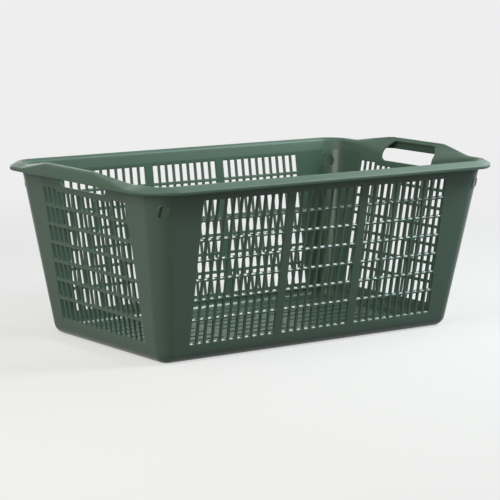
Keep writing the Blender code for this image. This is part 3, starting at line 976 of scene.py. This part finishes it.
def make_rims(context):
    """Straight rims of the long walls and the rim's four corners."""
    form = Form(context.scene)
    rising, lip = plain_rim_line(form)
    line = [Vector((-form.body.wall / 2, form.rim_joint_height))] + rising + lip
    outline = closed_outline(line, form.body.wall, is_round=True)
    halves = (form.rim_joint, form.handle_joint)
    for name, side in LONG_WALLS.items():
        shell = sweep(outline, [form.on_long_wall(side, end * form.rim_joint) for end in (-1, 1)])
        make_piece(context, f"{name}_rim_band", shell, "rim", f"rim_{name}")
    for name, side_x, side_y in CORNERS:
        shell = sweep_corner(form, outline, side_x, side_y, RIM_CORNER_STEPS, *halves)
        make_piece(context, f"rim_corner_{name}_band", shell, "rim", f"rim_corner_{name}")


# Handles


def ramp(across, start, full, ease):
    """A straight ramp with rounded ends, from 0 at its start to 1 where it is full."""
    t = min(max((start - across) / (start - full), 0), 1)
    if t < ease:
        return t * t / (2 * ease * (1 - ease))
    if t > 1 - ease:
        return 1 - (1 - t) * (1 - t) / (2 * ease * (1 - ease))
    return (t - ease / 2) / (1 - ease)


def at_height(line, height):
    """Point of a rising line at a height."""
    for before, after in zip(line, line[1:]):
        if before.y <= height <= after.y:
            return before.lerp(after, (height - before.y) / (after.y - before.y))
    return line[-1]


def evenly(line, steps):
    """A line again, in steps of equal length."""
    lengths = [0]
    for before, after in zip(line, line[1:]):
        lengths.append(lengths[-1] + (after - before).length)
    points = []
    for step in range(steps + 1):
        target = lengths[-1] * step / steps
        index = next(i for i in range(1, len(line)) if lengths[i] >= target or i == len(line) - 1)
        span = lengths[index] - lengths[index - 1]
        points.append(line[index - 1].lerp(line[index], (target - lengths[index - 1]) / span))
    return points


def hole_bottom_at(form, across):
    """Lower edge of the hand hole, carried on to the foot of the handle's wings."""
    handle = form.handle
    level = handle.hole_bottom_width / 2
    widest = handle.hole_width / 2
    if across <= level:
        return form.hole_bottom
    corner_top = form.hole_bottom + handle.hole_corner
    if across <= widest:
        turn = (across - level) / (widest - level)
        return corner_top - handle.hole_corner * math.sqrt(1 - turn * turn)
    run = min((across - widest) / (form.end_panel_half - widest), 1)
    return corner_top + (form.rim_joint_height - corner_top) * run


def hole_top_at(form, across):
    """Upper edge of the hand hole, carried on level beside it."""
    handle = form.handle
    level = handle.hole_top_width / 2
    turn = min(max((across - level) / (handle.hole_width / 2 - level), 0), 1)
    return form.hole_top - handle.hole_shoulder * turn**SHOULDER_POWER


def between(start, end, steps):
    """Numbers in equal steps from a start up to, but without, an end."""
    return [start + (end - start) * step / steps for step in range(steps)]


def handle_stations(form):
    """Distances from the middle of the handle at which its section is set."""
    handle = form.handle
    top_level = handle.hole_top_width / 2
    level = handle.hole_bottom_width / 2
    widest = handle.hole_width / 2
    stations = between(0, top_level, LEVEL_STATIONS) + [top_level, (top_level + level) / 2]
    for turn in between(0, math.pi / 2, HOLE_CORNER_STATIONS):
        stations.append(level + (widest - level) * math.sin(turn))
    stations += between(widest, form.end_panel_half, WING_STATIONS)
    stations += between(form.end_panel_half, form.handle_joint, FOOT_STATIONS) + [form.handle_joint]
    return [-station for station in stations[:0:-1]] + stations


def handle_section(form, across):
    """Inner side, rounded end and outer side of the handle's wall at a distance from its middle."""
    handle = form.handle
    wall = form.body.wall
    start = form.handle_joint_height
    raised = ramp(across, form.handle_joint - handle.lead, handle.top_width / 2, handle.ease)
    bulged = ramp(across, handle.bulge_start, handle.bulge_full, handle.ease)
    lifted = ramp(across, handle.lip_start, handle.lip_full, handle.ease)
    rising, lip = rim_line(form, raised, bulged, lifted)
    rising = [Vector((-wall / 2, start))] + rising
    low = hole_bottom_at(form, across)
    high = hole_top_at(form, across)
    heights = between(start, low, BELOW_HOLE_STEPS) + between(low, high, HOLE_STEPS)
    flank = [at_height(rising, high)] + [point for point in rising if point.y > high + ABOVE_HOLE]
    line = [at_height(rising, height) for height in heights] + evenly(flank, FLANK_STEPS) + lip
    inner, outer = skins(line, wall)
    return inner, round_end(line, wall), outer


def handle_shell(form, side, stations, sections):
    """A handle's closed shell on one end wall, and the faces that line its hand hole."""
    steps = len(sections[0][0]) - 1
    last = len(stations) - 1
    hole_end = BELOW_HOLE_STEPS + HOLE_STEPS

    def is_open(index, step):
        """Whether the cell between two stations and two section points is left out."""
        if step < 0 or not 0 <= index < last:
            return True
        middle = abs(stations[index] + stations[index + 1]) / 2
        if step < BELOW_HOLE_STEPS:
            return middle > form.end_panel_half
        return step < hole_end and middle < form.handle.hole_width / 2

    shell = bmesh.new()
    rings = []
    for station, section in zip(stations, sections):
        place = form.on_end_wall(side, station)
        inner, end, outer = [[shell.verts.new(place(*point)) for point in part] for part in section]
        rings.append((inner, outer, [inner[-1]] + end + [outer[-1]]))
    hole = set()
    for index, (inner, outer, _) in enumerate(rings):
        for step in range(steps):
            if is_open(index - 1, step) != is_open(index, step):
                face = shell.faces.new((inner[step], inner[step + 1], outer[step + 1], outer[step]))
                if BELOW_HOLE_STEPS <= step < hole_end and 0 < index < last:
                    hole.add(face)
    for index, (ring, next_ring) in enumerate(zip(rings, rings[1:])):
        for step in range(steps):
            if is_open(index, step - 1) != is_open(index, step):
                face = shell.faces.new((ring[0][step], next_ring[0][step], next_ring[1][step], ring[1][step]))
                if step >= BELOW_HOLE_STEPS and not is_open(index, 0):
                    hole.add(face)
        for part, next_part in zip(ring, next_ring):
            for step in range(len(part) - 1):
                if part is ring[2] or not is_open(index, step):
                    shell.faces.new((part[step], part[step + 1], next_part[step + 1], next_part[step]))
    shell.faces.new(rings[0][2])
    shell.faces.new(rings[-1][2])
    loose = [vert for vert in shell.verts if not vert.link_faces]
    bmesh.ops.delete(shell, geom=loose, context="VERTS")
    return shell, hole


def make_handles(context):
    """Raised end rims, each with a hollow grip over a hand hole."""
    form = Form(context.scene)
    stations = handle_stations(form)
    sections = [handle_section(form, abs(station)) for station in stations]
    for name, side in END_WALLS.items():
        shell, hole = handle_shell(form, side, stations, sections)
        edges = {edge for face in hole for edge in face.edges if not hole.issuperset(edge.link_faces)}
        bmesh.ops.recalc_face_normals(shell, faces=shell.faces)
        round_edges(shell, edges, form.handle.edge_rounding, HOLE_SEGMENTS, False)
        make_piece(context, f"{name}_handle_grip", shell, "rim", f"{name}_handle")


# Floor


def floor_blank(context, form):
    """The flat floor before its slots are cut."""
    outline = []
    for side_x, side_y in ((-1, -1), (1, -1), (1, 1), (-1, 1)):
        places = corner_turn(form, side_x, side_y, FLOOR_CORNER_STEPS)
        turn = [place(-form.body.bottom_radius, 0)[:2] for place in places]
        outline += turn[::-1] if side_x == side_y else turn
    return object_of(context, "floor_blank", prism(outline, 0, form.body.wall))


def slot_cutter(context, form, slot_length):
    """Upright prism with round ends that cuts one slot in the floor."""
    radius = form.lattice.floor_slot / 2
    wall = form.body.wall
    run = slot_length / 2 - radius
    outline = arc((run, 0), radius, -90, 90, SLOT_END_STEPS) + arc((-run, 0), radius, 90, 270, SLOT_END_STEPS)
    return object_of(context, "floor_slot", prism(outline, -wall, 2 * wall))


def make_floor(context):
    """Slotted floor inside the bottom edges."""
    form = Form(context.scene)
    lattice = form.lattice
    half_x = form.half_length(0) - form.body.bottom_radius
    half_y = form.half_width(0) - form.body.bottom_radius
    plate = floor_blank(context, form)
    pitch = 2 * (half_y - lattice.floor_margin) / lattice.floor_rows
    first = -pitch * (lattice.floor_rows - 1) / 2
    cutters = []
    for group in form.long_groups:
        start = group[0][0] + lattice.floor_inset
        end = group[-1][1] - lattice.floor_inset
        slot = slot_cutter(context, form, end - start)
        columns = (1, end - start, (start + end) / 2)
        mesh = repeated(context, form, slot, "floor", columns, (lattice.floor_rows, pitch, 0.0))
        for vert in mesh.vertices:
            row = round(vert.co.z / pitch)
            vert.co.z -= row * pitch
            vert.co.y += first + row * pitch
        cutter = add_object(context, "floor_slots", mesh)
        modifier = plate.modifiers.new("slots", "BOOLEAN")
        modifier.operation = "DIFFERENCE"
        modifier.solver = "EXACT"
        modifier.object = cutter
        cutters.append(cutter)
    graph = context.evaluated_depsgraph_get()
    cut_mesh = bpy.data.meshes.new_from_object(plate.evaluated_get(graph))
    for spare in cutters + [plate]:
        bpy.data.objects.remove(spare)
    shell = bmesh.new()
    shell.from_mesh(cut_mesh)
    bmesh.ops.remove_doubles(shell, verts=shell.verts, dist=lattice.weld)
    bmesh.ops.dissolve_limit(shell, angle_limit=FLAT_ANGLE, verts=shell.verts, edges=shell.edges)
    slot_edges = []
    for edge in shell.edges:
        middle = (edge.verts[0].co + edge.verts[1].co) / 2
        inside = abs(middle.x) < half_x - FLOOR_BORDER and abs(middle.y) < half_y - FLOOR_BORDER
        if inside and len(edge.link_faces) == 2 and edge.calc_face_angle() > RIM_ANGLE:
            slot_edges.append(edge)
    round_edges(shell, slot_edges, lattice.floor_rounding, SLOT_SEGMENTS, True)
    make_piece(context, "slotted_floor", shell, "floor", "floor")


# Studio


def seen_rays(tree, place):
    """Light Path output that is 1 where the camera, a reflection or a clear part shows the surface."""
    path = put(tree, "ShaderNodeLightPath", (place[0] - 400, place[1])).outputs
    inputs = {0: path["Is Camera Ray"], 1: path["Is Glossy Ray"]}
    first = put(tree, "ShaderNodeMath", (place[0] - 200, place[1]), inputs, operation="MAXIMUM")
    inputs = {0: first.outputs[0], 1: path["Is Transmission Ray"]}
    return put(tree, "ShaderNodeMath", place, inputs, operation="MAXIMUM").outputs[0]


def mix_shaders(tree, place, factor, first, second, output):
    """Mixes two shaders by a factor and puts the result out."""
    mix = put(tree, "ShaderNodeMixShader", place, {"Fac": factor, 1: first, 2: second})
    feed(tree, tree.nodes[output], {"Surface": mix.outputs["Shader"]})


def stage_material(studio):
    """Pale floor that takes the basket's shadow near it and is plain backdrop farther out."""
    material = bpy.data.materials.new("studio_floor")
    material.use_nodes = True
    tree = material.node_tree
    seen = seen_rays(tree, (-600, -200))
    inputs = {"Factor": seen, "A": (*studio.floor_bounce, 1), "B": (*studio.floor, 1)}
    base = put(tree, "ShaderNodeMix", (-300, 300), inputs, data_type="RGBA").outputs["Result"]
    shader = tree.nodes["Principled BSDF"]
    feed(tree, shader, {"Roughness": 1, "Specular IOR Level": 0, "Base Color": base})
    glow = put(tree, "ShaderNodeEmission", (0, -300), {"Color": (*studio.backdrop, 1)})
    place = put(tree, "ShaderNodeTexCoord", (-900, 200)).outputs["Object"]
    distance = put(tree, "ShaderNodeVectorMath", (-700, 200), {0: place}, operation="LENGTH")
    limits = {"From Min": studio.floor_near, "From Max": studio.floor_far, "To Min": studio.floor_plain}
    limits["Value"] = distance.outputs["Value"]
    far = put(tree, "ShaderNodeMapRange", (-500, 200), limits, interpolation_type="SMOOTHSTEP")
    inputs = {0: far.outputs["Result"], 1: seen}
    plain = put(tree, "ShaderNodeMath", (-300, 0), inputs, operation="MULTIPLY").outputs[0]
    floor_light = (shader.outputs["BSDF"], glow.outputs["Emission"])
    mix_shaders(tree, (200, 0), plain, *floor_light, "Material Output")
    return material


def set_world(scene, studio):
    """Even light from all round, seen as plain backdrop."""
    world = scene.world = bpy.data.worlds.new("studio_light")
    world.use_nodes = True
    tree = world.node_tree
    back = tree.nodes["Background"]
    feed(tree, back, {"Color": (1, 1, 1, 1), "Strength": studio.world})
    seen = put(tree, "ShaderNodeBackground", (0, -200), {"Color": (*studio.backdrop, 1)})
    lights = (back.outputs["Background"], seen.outputs["Background"])
    mix_shaders(tree, (300, 0), seen_rays(tree, (0, 200)), *lights, "World Output")


def add_lamp(context, name, place, size, power, tint):
    """A square softbox at a place, turned to the basket."""
    data = bpy.data.lights.new(name, "AREA")
    data.shape = "SQUARE"
    data.size = size
    data.energy = power
    data.color = tint
    lamp = add_object(context, name, data)
    lamp.location = place
    lamp.rotation_euler = (Vector(LAMP_TARGET) - Vector(place)).to_track_quat("-Z", "Y").to_euler()


def add_camera(context, studio):
    """Camera at the photograph's place, with its lens and turn."""
    data = bpy.data.cameras.new("photo_camera")
    data.sensor_width = SENSOR_WIDTH
    data.lens = studio.lens
    data.clip_end = VIEW_DEPTH
    camera = add_object(context, "photo_camera", data)
    turn = Matrix.Rotation(studio.azimuth, 4, "Z") @ Matrix.Rotation(math.pi / 2 - studio.elevation, 4, "X")
    roll = Matrix.Rotation(studio.roll, 4, "Z")
    camera.matrix_world = Matrix.Translation(studio.camera_place) @ turn @ roll
    context.scene.camera = camera


def make_studio(context):
    """Floor, lamps, world light and camera."""
    scene = context.scene
    studio = scene.basket_studio
    size = studio.floor_size
    mesh = bpy.data.meshes.new("studio_floor")
    corners = [(-size, -size, 0), (size, -size, 0), (size, size, 0), (-size, size, 0)]
    mesh.from_pydata(corners, [], [(0, 1, 2, 3)])
    mesh.materials.append(stage_material(studio))
    floor = add_object(context, "studio_floor", mesh)
    set_world(scene, studio)
    for name, (place, lamp_size, tint) in LAMPS.items():
        add_lamp(context, name + "_softbox", place, lamp_size, getattr(studio, name + "_power"), tint)
    scene.view_settings.view_transform = "Standard"
    add_camera(context, studio)


# Operators and panel


class BASKET_OT_floor(bpy.types.Operator):
    """Makes the slotted floor"""

    bl_idname = "basket.make_floor"
    bl_label = "Floor"

    def execute(self, context):
        make_floor(context)
        return {"FINISHED"}


class BASKET_OT_bottom_edges(bpy.types.Operator):
    """Makes the quarter-round edges between floor and walls"""

    bl_idname = "basket.make_bottom_edges"
    bl_label = "Bottom edges"

    def execute(self, context):
        make_bottom_edges(context)
        return {"FINISHED"}


class BASKET_OT_long_walls(bpy.types.Operator):
    """Makes the slotted front and back wall"""

    bl_idname = "basket.make_long_walls"
    bl_label = "Long walls"

    def execute(self, context):
        make_long_walls(context)
        return {"FINISHED"}


class BASKET_OT_end_walls(bpy.types.Operator):
    """Makes the slotted left and right wall"""

    bl_idname = "basket.make_end_walls"
    bl_label = "End walls"

    def execute(self, context):
        make_end_walls(context)
        return {"FINISHED"}


class BASKET_OT_corners(bpy.types.Operator):
    """Makes the upright corners with their round marks"""

    bl_idname = "basket.make_corners"
    bl_label = "Corners"

    def execute(self, context):
        make_corners(context)
        return {"FINISHED"}


class BASKET_OT_rims(bpy.types.Operator):
    """Makes the rim along the long walls and round the corners"""

    bl_idname = "basket.make_rims"
    bl_label = "Rim"

    def execute(self, context):
        make_rims(context)
        return {"FINISHED"}


class BASKET_OT_handles(bpy.types.Operator):
    """Makes the raised handles with their hand holes"""

    bl_idname = "basket.make_handles"
    bl_label = "Handles"

    def execute(self, context):
        make_handles(context)
        return {"FINISHED"}


class BASKET_OT_studio(bpy.types.Operator):
    """Makes the studio floor, the lamps and the camera"""

    bl_idname = "basket.make_studio"
    bl_label = "Studio"

    def execute(self, context):
        make_studio(context)
        return {"FINISHED"}


GROUPS = {
    "basket_body": BasketBody,
    "basket_rim": BasketRim,
    "basket_handle": BasketHandle,
    "basket_lattice": BasketLattice,
    "basket_mark": BasketMark,
    "basket_finish": BasketFinish,
    "basket_studio": BasketStudio,
}
STEPS = (
    BASKET_OT_floor,
    BASKET_OT_bottom_edges,
    BASKET_OT_long_walls,
    BASKET_OT_end_walls,
    BASKET_OT_corners,
    BASKET_OT_rims,
    BASKET_OT_handles,
    BASKET_OT_studio,
)


class BASKET_PT_pieces(bpy.types.Panel):
    """Sizes, colours and making of the basket"""

    bl_idname = "BASKET_PT_pieces"
    bl_label = "Openwork Basket"
    bl_space_type = "VIEW_3D"
    bl_region_type = "UI"
    bl_category = "Basket"

    def draw(self, context):
        layout = self.layout
        for step in STEPS:
            layout.operator(step.bl_idname)
        for name, group in GROUPS.items():
            box = layout.box()
            box.label(text=group.__doc__)
            settings = getattr(context.scene, name)
            for value in group.__annotations__:
                box.prop(settings, value)


def register():
    for group in GROUPS.values():
        bpy.utils.register_class(group)
    for name, group in GROUPS.items():
        setattr(bpy.types.Scene, name, PointerProperty(type=group))
    for step in STEPS:
        bpy.utils.register_class(step)
    bpy.utils.register_class(BASKET_PT_pieces)


def unregister():
    bpy.utils.unregister_class(BASKET_PT_pieces)
    for step in reversed(STEPS):
        bpy.utils.unregister_class(step)
    for name in GROUPS:
        delattr(bpy.types.Scene, name)
    for group in reversed(list(GROUPS.values())):
        bpy.utils.unregister_class(group)


def main():
    register()
    bpy.ops.basket.make_floor()
    bpy.ops.basket.make_bottom_edges()
    bpy.ops.basket.make_long_walls()
    bpy.ops.basket.make_end_walls()
    bpy.ops.basket.make_corners()
    bpy.ops.basket.make_rims()
    bpy.ops.basket.make_handles()
    bpy.ops.basket.make_studio()


if __name__ == "__main__":
    main()
